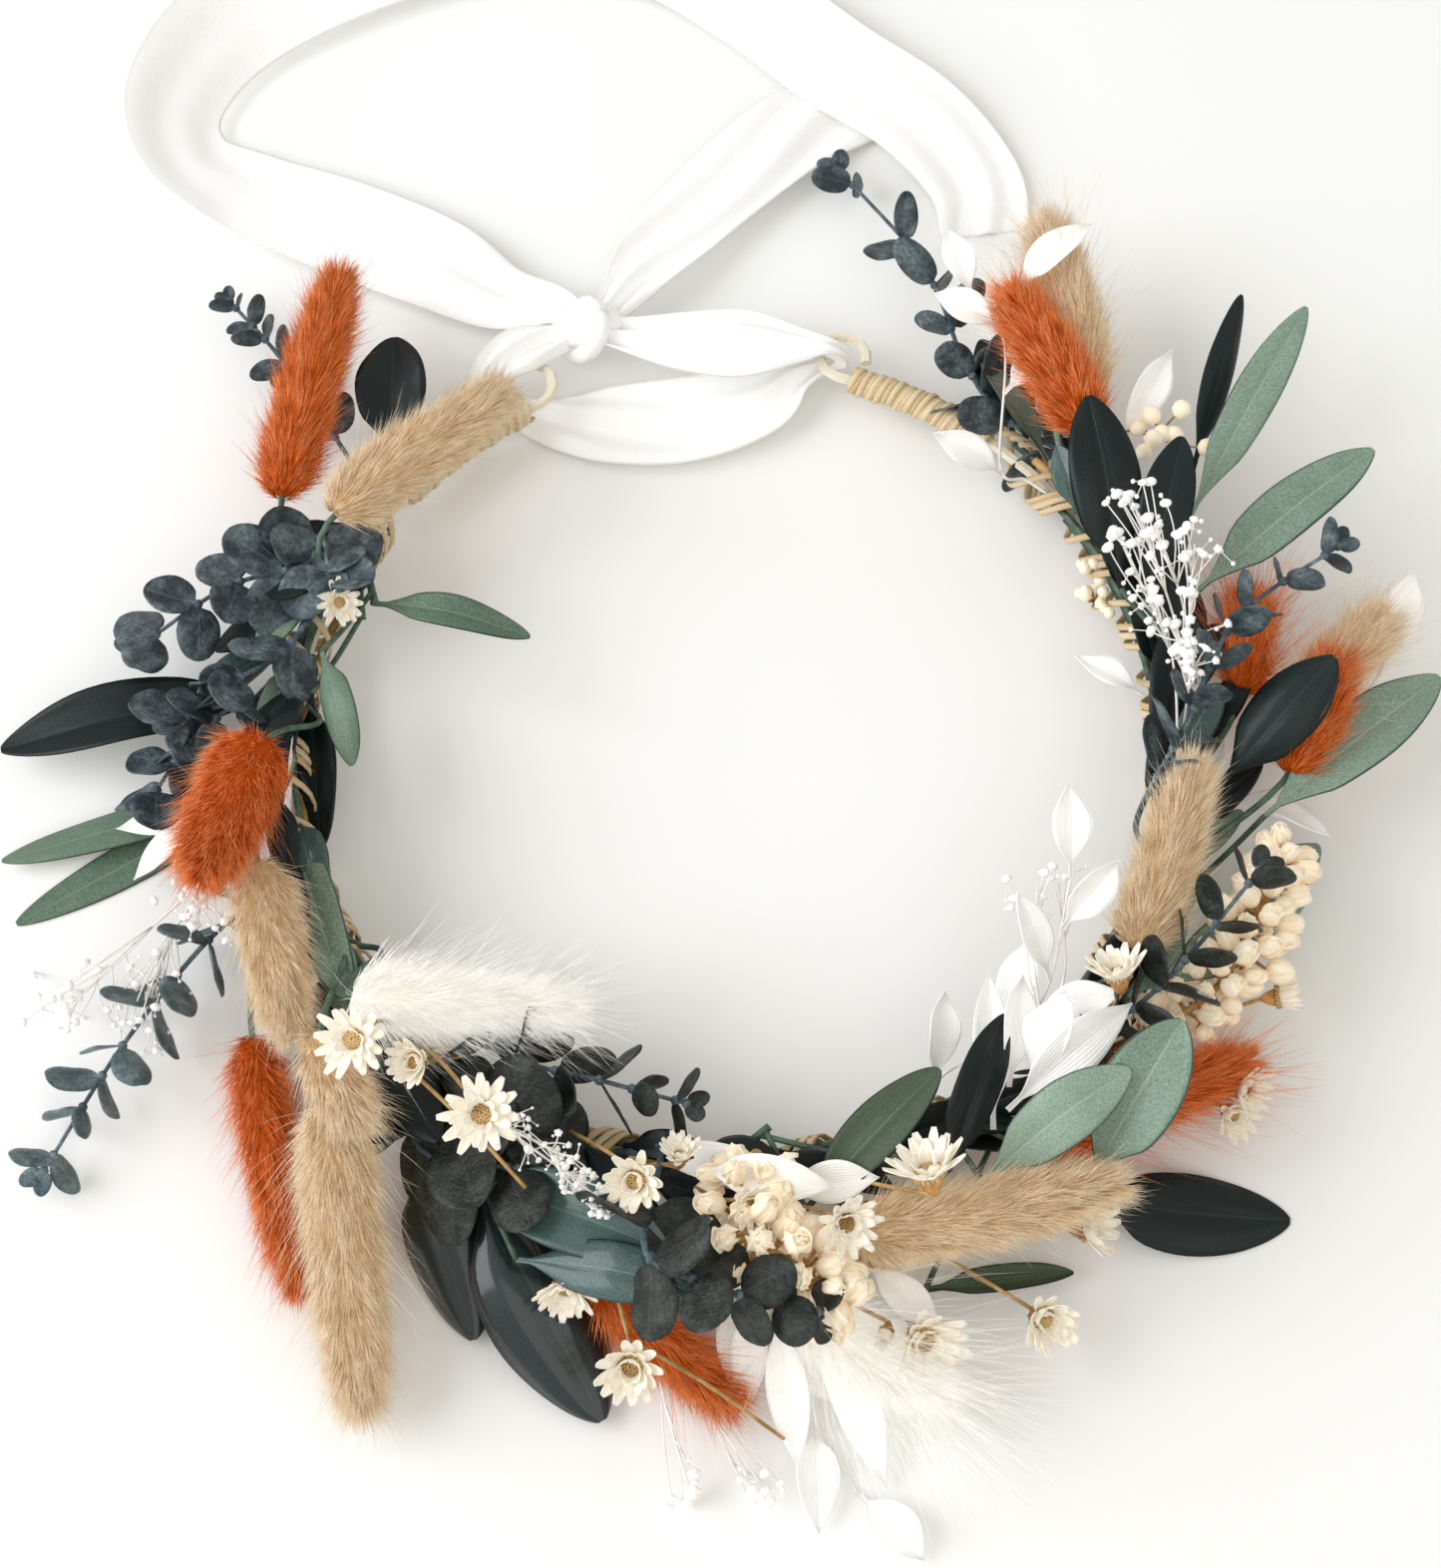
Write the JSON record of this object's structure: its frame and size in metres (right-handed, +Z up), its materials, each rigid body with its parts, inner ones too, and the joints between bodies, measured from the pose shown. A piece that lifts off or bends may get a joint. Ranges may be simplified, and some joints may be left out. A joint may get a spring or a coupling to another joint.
{
  "type": "flower crown",
  "caption": "Floral head crown: a wire hoop bound with raffia, with dried grass plumes, preserved leaves and small dried flowers, closed at the back by a satin ribbon.",
  "frame": {"origin": "middle of the underside of the crown's box, as it lies flat on a table", "axes": "+Z up, +Y towards the open back with the ribbon, +X to the wearer's left arm of the garland"},
  "size_m": [0.314, 0.3894, 0.0503],
  "materials": {
    "floral_wire": "dark green paper-taped florist wire, satin",
    "raffia": "natural dried raffia strand, dry and matt",
    "satin_ribbon": "white satin ribbon, soft sheen",
    "tail_rust": "rust-dyed dried grass plume, fine hair, matt",
    "tail_tan": "natural tan dried grass plume, fine hair, matt",
    "tail_white": "bleached dried grass plume, fine hair, matt",
    "eucalyptus": "preserved eucalyptus leaf, waxy bloom, blue-black",
    "ruscus_dark": "preserved dark green leaf, glycerined, semi-gloss",
    "ruscus_sage": "preserved sage green leaf, satin",
    "bleached_leaf": "bleached dried leaf, thin and translucent",
    "star_flower": "dried ivory flower with straw stem, papery",
    "bud": "dried cream bud cluster, papery",
    "gypsophila": "bleached fine-branched dried flower, matt"
  },
  "bodies": {
    "root": {"bleached_ruscus_1": "bleached_leaf", "bleached_ruscus_2": "bleached_leaf", "bleached_ruscus_3": "bleached_leaf", "bleached_ruscus_4": "bleached_leaf", "bud_cluster_1": "bud", "bud_cluster_2": "bud", "eucalyptus_1": "eucalyptus", "eucalyptus_10": "eucalyptus", "eucalyptus_2": "eucalyptus", "eucalyptus_3": "eucalyptus", "eucalyptus_4": "eucalyptus", "eucalyptus_5": "eucalyptus", "eucalyptus_6": "eucalyptus", "eucalyptus_7": "eucalyptus", "eucalyptus_8": "eucalyptus", "eucalyptus_9": "eucalyptus", "gypsophila_1": "gypsophila", "raffia_binding": "raffia", "raffia_wrap_left": "raffia", "raffia_wrap_right": "raffia", "ribbon_back_span": "satin_ribbon", "ribbon_knot": "satin_ribbon", "ribbon_tail_left": "satin_ribbon", "ribbon_tail_right": "satin_ribbon", "ruscus_1": "ruscus_dark", "ruscus_10": "ruscus_sage", "ruscus_11": "ruscus_dark", "ruscus_12": "ruscus_sage", "ruscus_2": "ruscus_sage", "ruscus_3": "ruscus_sage", "ruscus_4": "ruscus_dark", "ruscus_5": "ruscus_dark", "ruscus_6": "ruscus_sage", "ruscus_7": "ruscus_dark", "ruscus_8": "ruscus_sage", "ruscus_9": "ruscus_dark", "star_flower_1": "star_flower", "star_flower_2": "star_flower", "star_flower_3": "star_flower", "star_flower_4": "star_flower", "tail_rust_1": "tail_rust", "tail_rust_2": "tail_rust", "tail_rust_3": "tail_rust", "tail_rust_4": "tail_rust", "tail_rust_5": "tail_rust", "tail_rust_6": "tail_rust", "tail_rust_7": "tail_rust", "tail_rust_8": "tail_rust", "tail_tan_1": "tail_tan", "tail_tan_2": "tail_tan", "tail_tan_3": "tail_tan", "tail_tan_4": "tail_tan", "tail_tan_5": "tail_tan", "tail_tan_6": "tail_tan", "tail_tan_7": "tail_tan", "tail_tan_8": "tail_tan", "tail_white_1": "tail_white", "tail_white_2": "tail_white", "tail_white_3": "tail_white", "wire_hoop": "floral_wire"}
  },
  "joints": []
}
